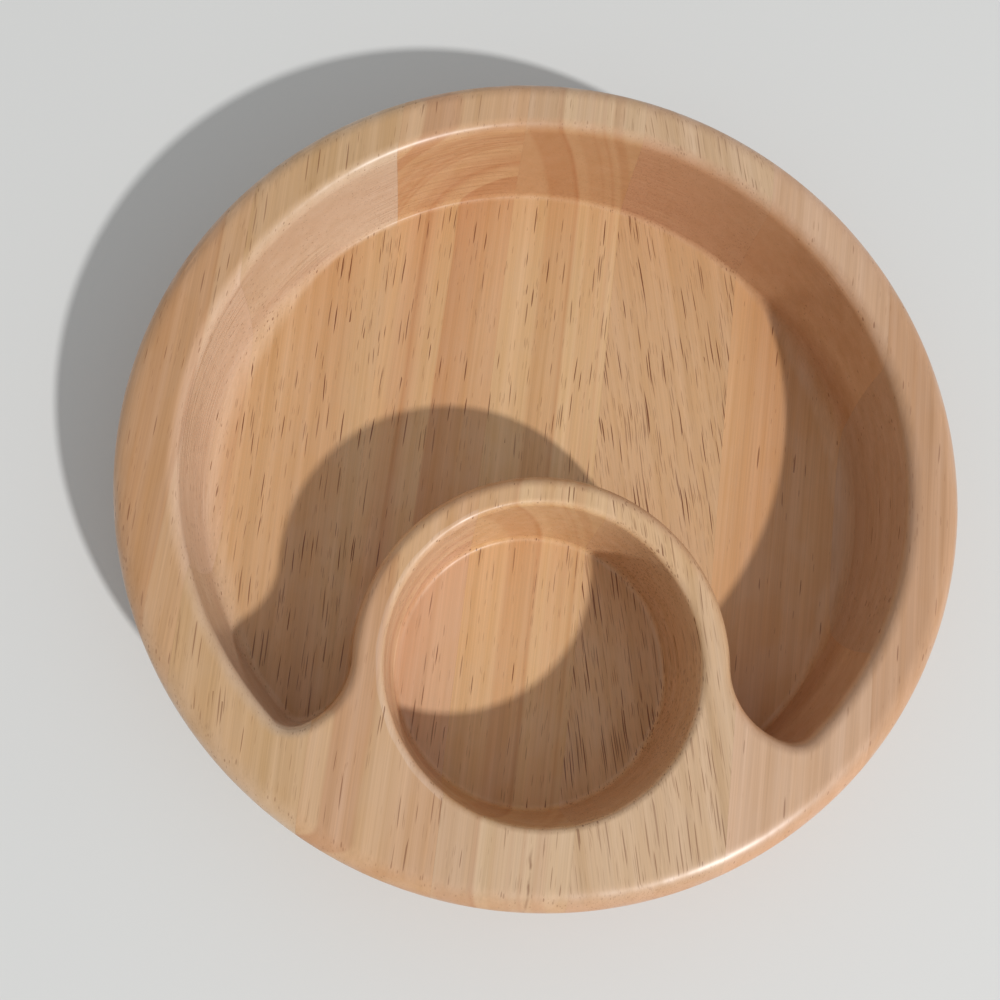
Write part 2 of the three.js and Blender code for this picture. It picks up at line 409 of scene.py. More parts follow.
def joined(bm, part):
    """Move a small mesh into a bigger one and return its edges there."""
    old = set(bm.edges)
    mesh = bpy.data.meshes.new("part")
    part.to_mesh(mesh)
    part.free()
    bm.from_mesh(mesh)
    bpy.data.meshes.remove(mesh)
    return [e for e in bm.edges if e not in old]


def closed_off(bm, height):
    """Close the open loops at one height with a flat face that has a narrow ring at its edges."""
    loops = [
        e for e in bm.edges
        if e.is_boundary and all(abs(v.co.z - height) < SNAP for v in e.verts)
    ]
    flat = bmesh.ops.triangle_fill(bm, edges=loops, use_beauty=True, normal=UP)
    faces = [g for g in flat["geom"] if isinstance(g, bmesh.types.BMFace)]
    ring = bmesh.ops.inset_region(
        bm, faces=faces, thickness=SUPPORT, use_boundary=True, use_even_offset=True
    )
    inner = {e for f in faces for e in f.edges}
    for edge in inner.intersection(e for f in ring["faces"] for e in f.edges):
        edge.smooth = False


def carve_outside(bm, shape):
    """Turn the outside: flat base, rounded foot, a side that leans out, and a rounded rim."""
    base_radius = shape.bowl_radius - shape.foot_setback
    foot = Vector((base_radius, 0, shape.foot_round))
    rim = Vector((shape.bowl_radius - shape.rim_round, 0, shape.bowl_height - shape.rim_round))
    between = rim - foot
    side = atan2(between.z, between.x)
    side -= acos((shape.foot_round - shape.rim_round) / between.length)
    outward = Vector((cos(side), 0, sin(side)))
    vert = bm.verts.new((base_radius, 0, 0))
    vert = swept(bm, vert, foot, ALONG_Y, -(pi / 2 + side), EDGE_STEPS)
    foot_end = foot + outward * shape.foot_round
    rim_start = rim + outward * shape.rim_round
    for step in range(1, SIDE_STEPS + 1):
        vert = drawn(bm, vert, foot_end.lerp(rim_start, step / SIDE_STEPS))
    swept(bm, vert, rim, ALONG_Y, -(pi / 2 - side), EDGE_STEPS)
    turned(bm, bm.verts[:], (0, 0, 0), BODY_STEPS)
    closed_off(bm, 0)


def wall_levels(shape, edge, lean, fillet):
    """Height of each level of a carved wall, and how far the wall stands in there.

    From the top down come the edge round, the hollow wall and the floor fillet.
    """
    top = shape.bowl_height - edge
    slope = atan2(2 * lean, top - shape.floor_level - fillet)
    foot = shape.floor_level + fillet * (1 - sin(slope))
    levels = []
    for step in range(EDGE_STEPS + 1):
        turn = pi / 2 * step / EDGE_STEPS
        levels.append((top + edge * cos(turn), edge * sin(turn)))
    for step in range(1, SIDE_STEPS):
        share = step / SIDE_STEPS
        levels.append((top + (foot - top) * share, edge + lean * share**2))
    for step in range(EDGE_STEPS + 1):
        turn = slope + (pi / 2 - slope) * step / EDGE_STEPS
        height = shape.floor_level + fillet * (1 - sin(turn))
        levels.append((height, edge + lean + fillet * (cos(slope) - cos(turn))))
    return levels


def carve_well(bm, shape, well):
    """Turn the dip well: rounded edge, hollow wall, floor fillet and flat floor."""
    old = set(bm.verts)
    levels = wall_levels(shape, shape.well_edge_round, shape.well_wall_lean, shape.floor_fillet)
    mouth = shape.well_mouth_radius
    places = [well + Vector((mouth - inset, 0, height)) for height, inset in levels]
    vert = bm.verts.new(places[0])
    for place in places[1:]:
        vert = drawn(bm, vert, place)
    turned(bm, [v for v in bm.verts if v not in old], well, WELL_STEPS)
    closed_off(bm, shape.floor_level)


def meeting_point(first, first_radius, second, second_radius):
    """Where two circles meet, to the left of the way from the first centre to the second."""
    way = second - first
    span = way.length
    along = (first_radius**2 - second_radius**2 + span**2) / (2 * span)
    way.normalize()
    left = Vector((-way.y, way.x, 0))
    return first + way * along + left * sqrt(first_radius**2 - along**2)


def smooth_step(value, low, high):
    """Ease from 0 to 1 between two values."""
    share = min(max((value - low) / (high - low), 0), 1)
    return share * share * (3 - 2 * share)


class Crescent:
    """The arcs that make the outline of the chip compartment at any level."""

    def __init__(self, shape, well):
        self.shape, self.well = shape, well
        self.rim_edge = shape.bowl_radius - shape.rim_width
        self.depth = shape.chip_edge_round + shape.chip_wall_lean + shape.floor_fillet
        self.levels = self.levels_with(shape.floor_fillet)
        shares = [step / RIM_ARC_STEPS for step in range(RIM_ARC_STEPS + 1)]
        self.rim_levels = [self.levels_with(self.rim_fillet(share)) for share in shares]
        from_middle = self.rim_edge - self.depth - shape.horn_flank_radius + shape.horn_bite
        cup_edge = shape.well_mouth_radius + shape.cup_top_width
        from_well = cup_edge + self.depth + shape.horn_flank_radius
        self.flank = meeting_point(Vector(), from_middle, well, from_well)

    def levels_with(self, fillet):
        """Levels of the compartment's wall with a given floor fillet."""
        shape = self.shape
        return wall_levels(shape, shape.chip_edge_round, shape.chip_wall_lean, fillet)

    def rim_fillet(self, share):
        """Floor fillet at a share of the way from the far rim to a horn, wide at the side."""
        wide = smooth_step(share, *SIDE_START) - smooth_step(share, *SIDE_END)
        return self.shape.floor_fillet + (self.shape.side_fillet - self.shape.floor_fillet) * wide

    def half(self, level, side):
        """Draw half of an outline from the far point of the rim round the horn to the cup.

        The left half is drawn as its mirror image, where the mouth is shifted the other way.
        """
        shape = self.shape
        height, inset = self.levels[level]
        up = (height - shape.floor_level) / (shape.bowl_height - shape.floor_level)
        middle = Vector((side * shape.mouth_shift[0], shape.mouth_shift[1], 0)) * up
        growth = self.depth - inset
        flank_radius = shape.horn_flank_radius + growth
        tip_radius = shape.horn_tip_radius + growth
        from_middle = self.rim_edge - inset - tip_radius
        tip = meeting_point(self.flank, flank_radius - tip_radius, middle, from_middle)
        rim_end = atan2(tip.y - middle.y, tip.x - middle.x)
        tip_end = atan2(tip.y - self.flank.y, tip.x - self.flank.x)
        cup_start = atan2(self.flank.y - self.well.y, self.flank.x - self.well.x)
        loop = bmesh.new()
        vert = loop.verts.new(middle + Vector((0, self.rim_edge - inset, height)))
        arcs = (
            (middle, rim_end - pi / 2, RIM_ARC_STEPS),
            (tip, tip_end - rim_end, TIP_ARC_STEPS),
            (self.flank, cup_start - pi - tip_end, FLANK_ARC_STEPS),
            (self.well, pi / 2 - cup_start, CUP_ARC_STEPS),
        )
        for centre, turn, steps in arcs:
            vert = swept(loop, vert, centre + UP * height, UP, turn, steps)
        loop.verts.ensure_lookup_table()
        for step, levels in enumerate(self.rim_levels):
            rim_height, rim_inset = levels[level]
            vert = loop.verts[step]
            inward = (middle + UP * height - vert.co).normalized()
            vert.co += inward * (rim_inset - inset) + UP * (rim_height - height)
        if side < 0:
            bmesh.ops.transform(loop, matrix=Matrix.Scale(-1, 4, (1, 0, 0)), verts=loop.verts)
        return loop

    def outline(self, level):
        """Draw one closed outline from its two halves."""
        loop = self.half(level, 1)
        count = len(loop.verts)
        joined(loop, self.half(level, -1))
        loop.verts.ensure_lookup_table()
        ends = {
            loop.verts[count]: loop.verts[0],
            loop.verts[2 * count - 1]: loop.verts[count - 1],
        }
        bmesh.ops.weld_verts(loop, targetmap=ends)
        return loop


def carve_crescent(bm, shape, well):
    """Draw the chip compartment's mouth, extrude it down level by level and close the floor."""
    crescent = Crescent(shape, well)
    old = len(bm.verts)
    edges = joined(bm, crescent.outline(0))
    bm.verts.ensure_lookup_table()
    upper = bm.verts[old:]
    for level in range(1, len(crescent.levels)):
        made = bmesh.ops.extrude_edge_only(bm, edges=edges)["geom"]
        fresh = {g for g in made if isinstance(g, bmesh.types.BMVert)}
        edges = [
            g for g in made if isinstance(g, bmesh.types.BMEdge) and fresh.issuperset(g.verts)
        ]
        outline = crescent.outline(level)
        lower = []
        for vert, target in zip(upper, outline.verts):
            ends = (edge.other_vert(vert) for edge in vert.link_edges)
            below = next(end for end in ends if end in fresh)
            below.co = target.co
            lower.append(below)
        outline.free()
        upper = lower
    closed_off(bm, shape.floor_level)


def mark_wood(bm, shape, well):
    """Write the masks of the wood at each point of the carved bowl."""
    masks = {name: bm.verts.layers.float.new(name) for name in MASKS}
    grain = Vector((sin(shape.grain_turn), cos(shape.grain_turn), 0))
    cup_radius = shape.well_mouth_radius + shape.cup_top_width + shape.chip_edge_round
    for vert in bm.verts:
        high = vert.co.z > shape.bowl_height / 2
        low = vert.co.z < shape.bowl_height / 2
        slope = max(vert.normal.z, 0)
        # 0 on flat and upright faces, 1 halfway between them
        turning = 4 * slope * (1 - slope)
        from_well = (vert.co.xy - well.xy).length
        inside = from_well < shape.well_mouth_radius
        on_cup = smooth_step(vert.co.y - well.y, 0, CUP_RUN) if from_well < cup_radius else 0
        inward = max(-vert.normal.xy.dot(vert.co.xy.normalized()), 0)
        # These masks carry painted light too: end_grain painted shade, rim_top painted sky
        # reflection, wall painted sheen and shade
        vert[masks["end_grain"]] = abs(vert.normal.dot(grain)) * (WELL_END_GRAIN if inside else 1)
        vert[masks["rim_top"]] = slope**2 * (1 - CUP_LESS_PAINTED_REFLECTION * on_cup) if high else 0
        vert[masks["round_edge"]] = turning if high else 0
        vert[masks["floor_edge"]] = turning if low else 0
        vert[masks["wall"]] = 0 if inside else inward
        vert[masks["in_well"]] = 1 if inside else 0


def settled(bm):
    """The same mesh with its edges and faces in the order of their vertices.

    A spin leaves them in an order that differs from run to run, and the joints' cuts follow it.
    """
    bm.verts.index_update()
    count = len(bm.verts)

    def rank(element):
        first, second, *rest = sorted(vert.index for vert in element.verts)
        return (first * count + second) * count + (rest[0] if rest else 0)

    bm.edges.sort(key=rank)
    bm.faces.sort(key=rank)
    fresh = bmesh.new()
    joined(fresh, bm)
    return fresh


def carved_bowl(shape):
    """The whole bowl as one closed shell, with the masks of its wood."""
    bm = bmesh.new()
    well_place = shape.front_rim_width + shape.well_mouth_radius - shape.bowl_radius
    well = Vector((0, well_place, 0))
    carve_outside(bm, shape)
    carve_crescent(bm, shape, well)
    carve_well(bm, shape, well)
    closed_off(bm, shape.bowl_height)
    bmesh.ops.remove_doubles(bm, verts=bm.verts, dist=MERGE)
    bmesh.ops.recalc_face_normals(bm, faces=bm.faces)
    bm.normal_update()
    mark_wood(bm, shape, well)
    for face in bm.faces:
        face.smooth = True
    return settled(bm)


def split(bm, across, place, keep_right):
    """Cut the shell at a joint, keep one side and close the cut."""
    bmesh.ops.bisect_plane(
        bm, geom=bm.verts[:] + bm.edges[:] + bm.faces[:], dist=SNAP, plane_co=across * place,
        plane_no=across, clear_inner=keep_right, clear_outer=not keep_right,
    )
    cut = [e for e in bm.edges if e.is_boundary]
    if not cut:
        raise RuntimeError("a joint misses the bowl")
    for edge in cut:
        edge.smooth = False
    bmesh.ops.edgeloop_fill(bm, edges=cut, use_smooth=False)


def stave_mesh(name, shape, bowl):
    """Keep the slab of the carved bowl between one stave's joints."""
    bm = bowl.copy()
    across = Vector((cos(shape.grain_turn), -sin(shape.grain_turn), 0))
    left, right = STAVES[name]["joints"]
    if left * MM > -shape.bowl_radius:
        split(bm, across, left * MM + shape.glue_line / 2, True)
    if right * MM < shape.bowl_radius:
        split(bm, across, right * MM - shape.glue_line / 2, False)
    bm.normal_update()
    flat = [f for f in bm.faces if abs(f.normal.z) > LEVEL or abs(f.normal.dot(across)) > LEVEL]
    # Each edge and vertex once, in an order that is the same in each run
    edges = list(dict.fromkeys(e for f in flat for e in f.edges))
    verts = list(dict.fromkeys(v for f in flat for v in f.verts))
    bmesh.ops.dissolve_limit(bm, angle_limit=FLAT, verts=verts, edges=edges, delimit={"SHARP"})
    bmesh.ops.recalc_face_normals(bm, faces=bm.faces)
    open_edges = [e for e in bm.edges if not e.is_manifold]
    if open_edges:
        raise RuntimeError(f"{name} isn't closed: {len(open_edges)} open edges")
    mesh = bpy.data.meshes.new(name + "_wood")
    bm.to_mesh(mesh)
    bm.free()
    return mesh


# Wood


VALUE, VECTOR, COLOR = "NodeSocketFloat", "NodeSocketVector", "NodeSocketColor"


def fill(tree, node, inputs):
    """Fill a node's inputs, by number or name, from values or sockets."""
    for place, value in inputs.items():
        if isinstance(value, bpy.types.NodeSocket):
            tree.links.new(value, node.inputs[place])
        else:
            node.inputs[place].default_value = value


def put(tree, kind, inputs=(), **options):
    """Add a node, set its options, and fill its inputs in order or by name."""
    node = tree.nodes.new(kind)
    for option, value in options.items():
        setattr(node, option, value)
    fill(tree, node, inputs if isinstance(inputs, dict) else dict(enumerate(inputs)))
    return node


def maths(tree, operation, *values):
    """One step of arithmetic."""
    return put(tree, "ShaderNodeMath", values, operation=operation).outputs[0]


def vectors(tree, operation, *values):
    """One step of arithmetic on vectors."""
    return put(tree, "ShaderNodeVectorMath", values, operation=operation).outputs[0]


def stretched(tree, vector, size):
    """A vector times a number."""
    inputs = {0: vector, "Scale": size}
    return put(tree, "ShaderNodeVectorMath", inputs, operation="SCALE").outputs[0]


def noise(tree, vector, cells, detail, roughness=0.5):
    """Cloudy noise in cells of the given sizes."""
    point = vectors(tree, "DIVIDE", vector, cells)
    inputs = {"Vector": point, "Scale": 1.0, "Detail": detail, "Roughness": roughness}
    return put(tree, "ShaderNodeTexNoise", inputs).outputs


def eased(tree, value, low, high, to_low=0.0, to_high=1.0):
    """Ease a value from one range to another."""
    inputs = (value, low, high, to_low, to_high)
    return put(tree, "ShaderNodeMapRange", inputs, interpolation_type="SMOOTHSTEP").outputs[0]


def blended(tree, share, first, second):
    """Mix two colours."""
    inputs = {0: share, 6: first, 7: second}
    return put(tree, "ShaderNodeMix", inputs, data_type="RGBA").outputs[2]


def group(name, inputs, outputs):
    """Start a node group with named sockets and return it with its ends."""
    tree = bpy.data.node_groups.new(name, "ShaderNodeTree")
    for label, kind in inputs:
        tree.interface.new_socket(label, in_out="INPUT", socket_type=kind)
    for label, kind in outputs:
        tree.interface.new_socket(label, in_out="OUTPUT", socket_type=kind)
    given = tree.nodes.new("NodeGroupInput").outputs
    made = tree.nodes.new("NodeGroupOutput").inputs
    return tree, given, made


def growth_rings():
    """How far a point of the board is from the tree's pith, with the wander of real rings."""
    tree, given, made = group(
        "growth_rings",
        [("Board Point", VECTOR), ("Pith Across", VALUE), ("Pith Height", VALUE),
         ("Wander", VALUE)],
        [("Ring Radius", VALUE)],
    )
    point = put(tree, "ShaderNodeSeparateXYZ", (given["Board Point"],)).outputs
    drift = noise(tree, given["Board Point"], RING_DRIFT_CELLS, detail=2.0)["Color"]
    drift = vectors(tree, "SUBTRACT", drift, (NOISE_MIDDLE,) * 3)
    drift = stretched(tree, drift, maths(tree, "MULTIPLY", given["Wander"], RING_DRIFT))
    across = maths(tree, "SUBTRACT", point["X"], given["Pith Across"])
    height = maths(tree, "SUBTRACT", point["Z"], given["Pith Height"])
    flat = put(tree, "ShaderNodeCombineXYZ", (across, 0.0, height)).outputs[0]
    moved = put(tree, "ShaderNodeSeparateXYZ", (vectors(tree, "ADD", flat, drift),)).outputs
    squares = [maths(tree, "POWER", moved[axis], 2.0) for axis in ("X", "Z")]
    radius = maths(tree, "SQRT", maths(tree, "ADD", *squares))
    tree.links.new(radius, made["Ring Radius"])
    return tree


def fibres():
    """Fine and broad streaks along the grain, which show as specks on end grain."""
    tree, given, made = group(
        "fibres", [("Board Point", VECTOR)], [("Fine", VALUE), ("Broad", VALUE)]
    )
    fine = noise(tree, given["Board Point"], FINE_CELLS, detail=2.0, roughness=0.6)
    broad = noise(tree, given["Board Point"], BROAD_CELLS, detail=3.0, roughness=0.55)
    tree.links.new(fine[0], made["Fine"])
    tree.links.new(broad[0], made["Broad"])
    return tree


def open_pores():
    """Open pores in crowds: long dashes along the grain, short flecks, and dots on end grain."""
    tree, given, made = group(
        "open_pores",
        [("Board Point", VECTOR), ("Spacing", VALUE), ("Length", VALUE), ("Share", VALUE)],
        [("Pore", VALUE)],
    )
    bend = noise(tree, given["Board Point"], PORE_BEND_CELLS, detail=1.0)["Color"]
    bend = stretched(tree, bend, PORE_BEND)
    point = vectors(tree, "ADD", given["Board Point"], bend)
    crowd = noise(tree, given["Board Point"], PORE_CROWD_CELLS, detail=1.0)[0]
    crowd = eased(tree, crowd, *PORE_CROWD_RANGE, *PORE_CROWDS)
    share = maths(tree, "MULTIPLY", given["Share"], crowd)
    layers = []
    for spacing, reach, strength in PORE_LAYERS:
        across = maths(tree, "MULTIPLY", given["Spacing"], spacing)
        along = maths(tree, "MULTIPLY", given["Length"], reach)
        cell = put(tree, "ShaderNodeCombineXYZ", (across, along, across)).outputs[0]
        place = vectors(tree, "DIVIDE", point, cell)
        inputs = {"Vector": place, "Scale": 1.0, "Randomness": 1.0}
        cells = put(tree, "ShaderNodeTexVoronoi", inputs).outputs
        chance = put(tree, "ShaderNodeSeparateColor", (cells["Color"],)).outputs
        width = maths(tree, "MULTIPLY_ADD", chance[1], PORE_WIDTH_SPREAD, PORE_WIDTH)
        dash = maths(tree, "DIVIDE", cells["Distance"], width)
        dash = eased(tree, dash, 1.0, PORE_CORE)
        faintest = strength * PORE_FAINTEST
        depth = maths(tree, "MULTIPLY_ADD", chance[2], strength - faintest, faintest)
        here = maths(tree, "LESS_THAN", chance[0], share)
        layers.append(maths(tree, "MULTIPLY", maths(tree, "MULTIPLY", dash, here), depth))
    tree.links.new(maths(tree, "MAXIMUM", *layers), made["Pore"])
    return tree


def mineral_streak():
    """One dark line along the grain between two places, thin and a little crooked."""
    tree, given, made = group(
        "mineral_streak",
        [("Board Point", VECTOR), ("Across", VALUE), ("From", VALUE), ("To", VALUE),
         ("Width", VALUE)],
        [("Streak", VALUE)],
    )
    point = put(tree, "ShaderNodeSeparateXYZ", (given["Board Point"],)).outputs
    crook = noise(tree, given["Board Point"], STREAK_CROOK_CELLS, detail=2.0)[0]
    crook = maths(tree, "SUBTRACT", crook, NOISE_MIDDLE)
    offset = maths(tree, "MULTIPLY_ADD", crook, STREAK_CROOK, point["X"])
    away = maths(tree, "ABSOLUTE", maths(tree, "SUBTRACT", offset, given["Across"]))
    line = eased(tree, away, given["Width"], 0.0)
    start = eased(tree, maths(tree, "SUBTRACT", given["From"], point["Y"]), *STREAK_FADE)
    end = eased(tree, maths(tree, "SUBTRACT", point["Y"], given["To"]), *STREAK_FADE)
    inside = maths(tree, "MULTIPLY", start, end)
    broken = noise(tree, given["Board Point"], STREAK_BREAK_CELLS, detail=2.0)[0]
    broken = eased(tree, broken, *STREAK_BREAK_RANGE)
    streak = maths(tree, "MULTIPLY", maths(tree, "MULTIPLY", line, inside), broken)
    tree.links.new(streak, made["Streak"])
    return tree


def cutter_marks():
    """Faint level lines that the cutter leaves on the walls, in patches, as a height."""
    tree, given, made = group("cutter_marks", [("Board Point", VECTOR)], [("Height", VALUE)])
    lines = noise(tree, given["Board Point"], MARK_CELLS, detail=2.0, roughness=0.6)[0]
    lines = maths(tree, "SUBTRACT", lines, NOISE_MIDDLE)
    patch = noise(tree, given["Board Point"], MARK_PATCH_CELLS, detail=1.0)[0]
    patch = eased(tree, patch, *MARK_PATCH_RANGE)
    tree.links.new(maths(tree, "MULTIPLY", lines, patch), made["Height"])
    return tree


def wood_tone():
    """Put streaks, end grain, rubbed rim, torn floor edge and pores on the colour of the bands."""
    tones = [(f"{name} {part}", VALUE) for name, *_ in TONED_PLACES for part in ("Value", "Depth")]
    tree, given, made = group(
        "wood_tone",
        [("Board Point", VECTOR), ("Color", COLOR), ("Pore Color", COLOR), ("Fine", VALUE),
         ("Broad", VALUE), ("Pore", VALUE), *tones, ("End Shade Hue", VALUE), ("Lacquer", VALUE),
         ("Roughness", VALUE)],
        [("Color", COLOR), ("Roughness", VALUE), ("Lacquer", VALUE)],
    )
    masks = {
        name: put(tree, "ShaderNodeAttribute", attribute_name=name).outputs["Fac"]
        for name in MASKS
    }

    def more(mask, amount, value):
        """Add an amount to a value where a mask is."""
        return maths(tree, "MULTIPLY_ADD", mask, amount, value)

    long_grain = more(masks["end_grain"], -END_GRAIN_CALM, 1.0)
    fine = maths(tree, "SUBTRACT", given["Fine"], NOISE_MIDDLE)
    fine = maths(tree, "MULTIPLY", fine, long_grain)
    broad = maths(tree, "SUBTRACT", given["Broad"], NOISE_MIDDLE)
    broad = maths(tree, "MULTIPLY", broad, long_grain)
    value = more(fine, FINE_VALUE, 1.0)
    value = more(broad, BROAD_VALUE, value)
    value = more(masks["round_edge"], EDGE_VALUE, value)
    depth = more(broad, BROAD_DEPTH, 1.0)
    # End grain's own tone with painted shade, the rim top's painted sky reflection, the walls'
    # painted sheen and shade, and the well's tone
    for name, mask, _ in TONED_PLACES:
        value = more(masks[mask], maths(tree, "SUBTRACT", given[name + " Value"], 1.0), value)
        depth = more(masks[mask], maths(tree, "SUBTRACT", given[name + " Depth"], 1.0), depth)
    # Painted pinker shade on end grain
    hue = more(masks["end_grain"], given["End Shade Hue"], NEUTRAL_HUE)
    inputs = {"Hue": hue, "Saturation": depth, "Value": value, "Color": given["Color"]}
    shaded = put(tree, "ShaderNodeHueSaturation", inputs).outputs[0]

    specks = eased(tree, noise(tree, given["Board Point"], TORN_CELLS, detail=2.0)[0], *TORN_RANGE)
    torn = maths(tree, "MULTIPLY", masks["floor_edge"], masks["end_grain"])
    torn = maths(tree, "MULTIPLY", torn, specks)
    dark = maths(tree, "MULTIPLY", long_grain, PORE_DARKNESS)
    dark = maths(tree, "MULTIPLY", given["Pore"], dark)
    dark = maths(tree, "MULTIPLY", dark, more(masks["rim_top"], -RIM_PORES_FAINTER, 1.0))
    dark = maths(tree, "MAXIMUM", dark, maths(tree, "MULTIPLY", torn, TORN_DARKNESS))
    tree.links.new(blended(tree, dark, shaded, given["Pore Color"]), made["Color"])

    rough = more(given["Pore"], PORE_ROUGHNESS, given["Roughness"])
    rough = more(masks["end_grain"], END_ROUGHNESS, rough)
    tree.links.new(more(fine, FINE_ROUGHNESS, rough), made["Roughness"])

    worn = noise(tree, given["Board Point"], WEAR_CELLS, detail=2.0)[0]
    worn = eased(tree, worn, *WEAR_RANGE, WORN_LACQUER, 1.0)
    left = maths(tree, "MULTIPLY", more(masks["floor_edge"], -BARE_FLOOR_EDGE, 1.0), worn)
    tree.links.new(maths(tree, "MULTIPLY", given["Lacquer"], left), made["Lacquer"])
    return tree


def place_group(tree, make, inputs):
    """Place a shared node group, which is built the first time it is asked for."""
    node = tree.nodes.new("ShaderNodeGroup")
    node.node_tree = bpy.data.node_groups.get(make.__name__) or make()
    fill(tree, node, inputs)
    return node.outputs


def ring_bands(tree, radius, bands):
    """The tone of the bands at a ring radius, from 0 deep to 1 pale."""
    first, last = bands[0][0], bands[-1][0]
    place = put(tree, "ShaderNodeMapRange", (radius, first, last, 0.0, 1.0)).outputs[0]
    ramp = put(tree, "ShaderNodeValToRGB", (place,))
    stops = ramp.color_ramp.elements
    for i, (band_radius, tone) in enumerate(bands):
        share = (band_radius - first) / (last - first)
        # A new ramp has two stops already
        stop = stops[i] if i < 2 else stops.new(share)
        stop.position = share
        stop.color = (tone, tone, tone, 1)
    return ramp.outputs[0]


def stave_wood(name, scene):
    """The lacquered wood of one stave."""
    stave, finish = STAVES[name], scene.bowl_finish
    look = getattr(scene, "bowl_" + name)
    material = bpy.data.materials.new(stave["slot"])
    material.use_nodes = True
    tree = material.node_tree
    surface = tree.nodes["Principled BSDF"]

    turn = scene.bowl_shape.grain_turn + look.grain_lean
    inputs = {
        "Vector": put(tree, "ShaderNodeTexCoord").outputs["Object"],
        "Rotation": (0, 0, turn),
        "Scale": (1 / MM,) * 3,
    }
    point = put(tree, "ShaderNodeMapping", inputs).outputs[0]
    across, height = stave["pith"]
    rings = place_group(tree, growth_rings, {
        "Board Point": point, "Pith Across": across, "Pith Height": height,
        "Wander": look.ring_wander,
    })
    tone = ring_bands(tree, rings["Ring Radius"], stave["bands"])
    bands = blended(tree, tone, (*look.deep_wood, 1), (*look.pale_wood, 1))
    streaks = place_group(tree, fibres, {"Board Point": point})
    pores = place_group(tree, open_pores, {
        "Board Point": point, "Spacing": look.pore_spacing / MM, "Length": look.pore_length / MM,
        "Share": look.pore_share,
    })["Pore"]
    for across, start, end, width in stave["streaks"]:
        line = place_group(tree, mineral_streak, {
            "Board Point": point, "Across": across, "From": start, "To": end, "Width": width,
        })
        pores = maths(tree, "MAXIMUM", pores, line["Streak"])

    inputs = {
        "Board Point": point, "Color": bands, "Pore Color": (*finish.pore_colour, 1),
        "Fine": streaks["Fine"], "Broad": streaks["Broad"], "Pore": pores,
        "End Shade Hue": stave["end_hue"], "Lacquer": finish.lacquer_weight,
        "Roughness": finish.wood_roughness,
    }
    for place, _, key in TONED_PLACES:
        inputs[place + " Value"], inputs[place + " Depth"] = stave[key]
    wood = place_group(tree, wood_tone, inputs)
    marks = place_group(tree, cutter_marks, {"Board Point": point})
    inputs = {"Strength": 1.0, "Distance": look.cutter_marks, "Height": marks["Height"]}
    bump = put(tree, "ShaderNodeBump", inputs)
    fill(tree, surface, {
        "Base Color": wood["Color"],
        "Roughness": wood["Roughness"],
        "Coat Weight": wood["Lacquer"],
        "Normal": bump.outputs[0],
        "Specular IOR Level": DULL_GLOSS,
        "Coat Roughness": finish.lacquer_roughness,
    })
    return material


def stave_look_class(name):
    """The property group of one stave, with its own wood as the defaults."""
    stave = STAVES[name]
    words = name.replace("_", " ")
    fields = {
        "pale_wood": colour("Pale wood", f"Palest bands of the {words}", linear(stave["pale"])),
        "deep_wood": colour("Deep wood", f"Deepest bands of the {words}", linear(stave["deep"])),
        "grain_lean": angle("Grain lean", "How far the grain leans from the joints", stave["lean"]),
        "ring_wander": bpy.props.FloatProperty(
            name="Ring wander", description="How far the rings wander, in millimetres",
            default=stave["wander"], min=0,
        ),
        "pore_share": factor("Pore share", "How many of the pores are open", stave["pores"]),
        "pore_length": length(
            "Pore length", "Distance between pores along the grain", stave["pore_length"] * MM
        ),
        "pore_spacing": length(
            "Pore spacing", "Distance between pores across the grain", stave["pore_spacing"] * MM
        ),
        "cutter_marks": length(
            "Cutter marks", "Depth of the cutter's marks on the walls", stave["marks"] * MARK_DEPTH
        ),
    }
    body = {"__doc__": f"Wood of the {words}", "__annotations__": fields}
    return type("BOWL_PG_" + name, (bpy.types.PropertyGroup,), body)


STAVE_LOOKS = {name: stave_look_class(name) for name in STAVES}


class BOWL_OT_carve_staves(bpy.types.Operator):
    """Carve the bowl from its glued staves and finish the wood of each"""

    bl_idname = "bowl.carve_staves"
    bl_label = "Carve Staves"

    def execute(self, context):
        scene = context.scene
        bowl = carved_bowl(scene.bowl_shape)
        for name, stave in STAVES.items():
            mesh = stave_mesh(name, scene.bowl_shape, bowl)
            mesh.materials.append(stave_wood(name, scene))
            piece = bpy.data.objects.new(name + "_carved", mesh)
            scene.collection.objects.link(piece)
            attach(piece, BODY)
            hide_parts(name)
        bowl.free()
        return {"FINISHED"}


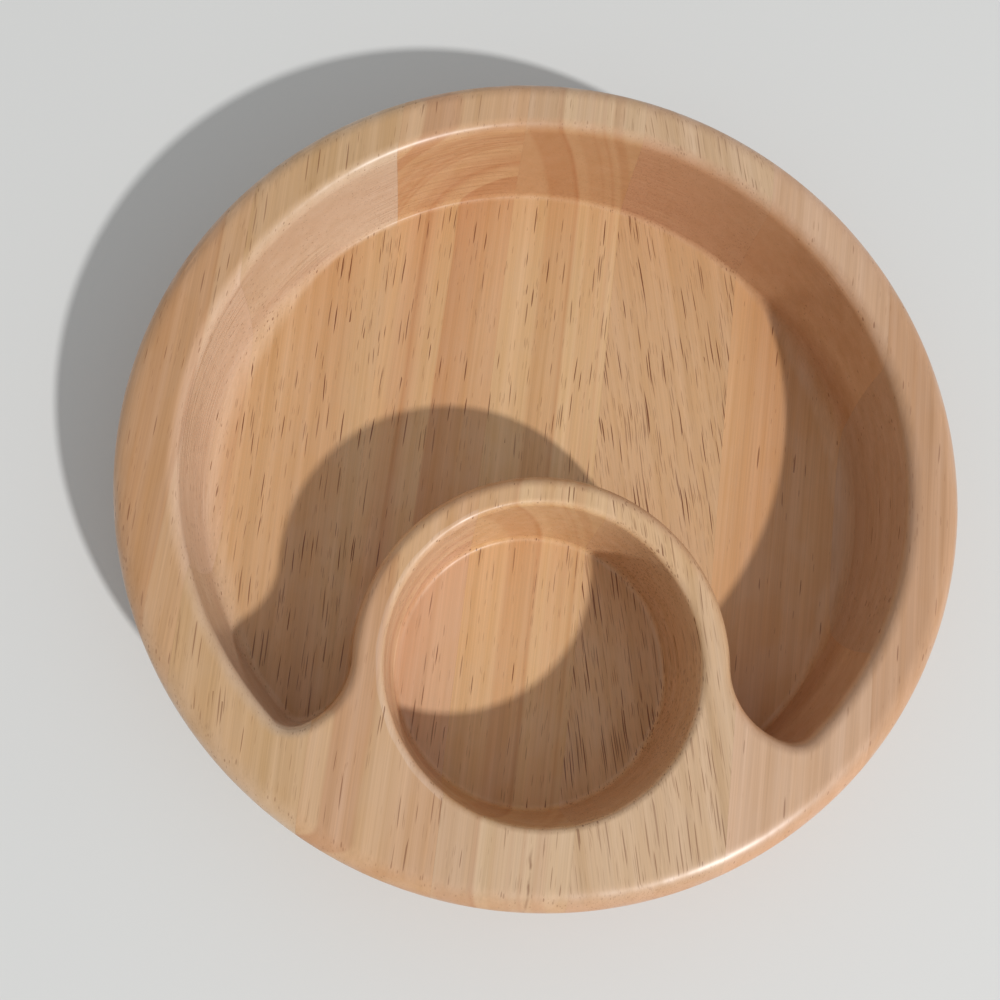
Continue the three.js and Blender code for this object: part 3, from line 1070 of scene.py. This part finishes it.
class BOWL_OT_set_stage(bpy.types.Operator):
    """Set the floor, the soft light and the camera"""

    bl_idname = "bowl.set_stage"
    bl_label = "Set Stage"

    def execute(self, context):
        scene, stage = context.scene, context.scene.bowl_stage
        self.lay_floor(scene, stage)
        self.light(scene, stage)
        self.place_camera(scene, stage)
        scene.view_settings.view_transform = "Standard"
        return {"FINISHED"}

    def lay_floor(self, scene, stage):
        """Lay a plain floor just under the base."""
        bm = bmesh.new()
        bmesh.ops.create_grid(bm, x_segments=1, y_segments=1, size=stage.floor_size)
        bmesh.ops.translate(bm, verts=bm.verts, vec=(0, 0, -FLOOR_DROP))
        mesh = bpy.data.meshes.new("floor")
        bm.to_mesh(mesh)
        bm.free()
        material = bpy.data.materials.new("pale_floor")
        material.use_nodes = True
        fill(material.node_tree, material.node_tree.nodes["Principled BSDF"], {
            "Base Color": (*stage.floor_colour, 1),
            "Roughness": FLOOR_ROUGHNESS,
            "Specular IOR Level": DULL_GLOSS,
        })
        mesh.materials.append(material)
        floor = bpy.data.objects.new("floor", mesh)
        scene.collection.objects.link(floor)

    def light(self, scene, stage):
        """Light the scene evenly from all round, with one soft lamp aimed at the middle."""
        world = bpy.data.worlds.new("even_light")
        world.use_nodes = True
        fill(world.node_tree, world.node_tree.nodes["Background"], {
            "Color": (*stage.sky_colour, 1),
            "Strength": stage.sky_strength,
        })
        scene.world = world
        lamp = bpy.data.lights.new("key_lamp", "AREA")
        lamp.shape = "DISK"
        lamp.size = stage.key_size
        lamp.energy = stage.key_power
        key = bpy.data.objects.new("key_lamp", lamp)
        key.location = stage.key_place
        key.rotation_euler = (-Vector(stage.key_place)).to_track_quat("-Z", "Y").to_euler()
        scene.collection.objects.link(key)

    def place_camera(self, scene, stage):
        """Stand the camera where it sees the bowl from above."""
        lens = bpy.data.cameras.new("camera")
        lens.lens = stage.camera_lens
        lens.sensor_width = SENSOR_WIDTH
        lens.clip_start = NEAREST
        camera = bpy.data.objects.new("camera", lens)
        camera.location = stage.camera_place
        camera.rotation_euler = stage.camera_turn
        scene.collection.objects.link(camera)
        scene.camera = camera


class BOWL_PT_panel(bpy.types.Panel):
    """Sizes, wood and stage of the bowl"""

    bl_idname = "BOWL_PT_panel"
    bl_label = "Chip and Dip Bowl"
    bl_space_type = "VIEW_3D"
    bl_region_type = "UI"
    bl_category = "Bowl"

    def draw(self, context):
        layout = self.layout
        layout.operator(BOWL_OT_set_stage.bl_idname)
        layout.operator(BOWL_OT_carve_staves.bl_idname)
        for pointer in POINTERS:
            values = getattr(context.scene, pointer)
            box = layout.box()
            for field in values.bl_rna.properties:
                if field.identifier not in {"rna_type", "name"}:
                    box.prop(values, field.identifier)


POINTERS = {
    "bowl_shape": BOWL_PG_shape,
    "bowl_finish": BOWL_PG_finish,
    "bowl_stage": BOWL_PG_stage,
    **{"bowl_" + name: look for name, look in STAVE_LOOKS.items()},
}
CLASSES = (*POINTERS.values(), BOWL_OT_carve_staves, BOWL_OT_set_stage, BOWL_PT_panel)


def register():
    """Register the classes and give the scene their values."""
    for cls in CLASSES:
        bpy.utils.register_class(cls)
    for pointer, cls in POINTERS.items():
        setattr(bpy.types.Scene, pointer, bpy.props.PointerProperty(type=cls))


def unregister():
    """Take the values off the scene and unregister the classes."""
    for pointer in POINTERS:
        delattr(bpy.types.Scene, pointer)
    for cls in reversed(CLASSES):
        bpy.utils.unregister_class(cls)


def main():
    """Make the stage and the bowl, and write down the boxes of both models."""
    register()
    bpy.ops.bowl.set_stage()
    bpy.ops.bowl.carve_staves()


if __name__ == "__main__":
    main()
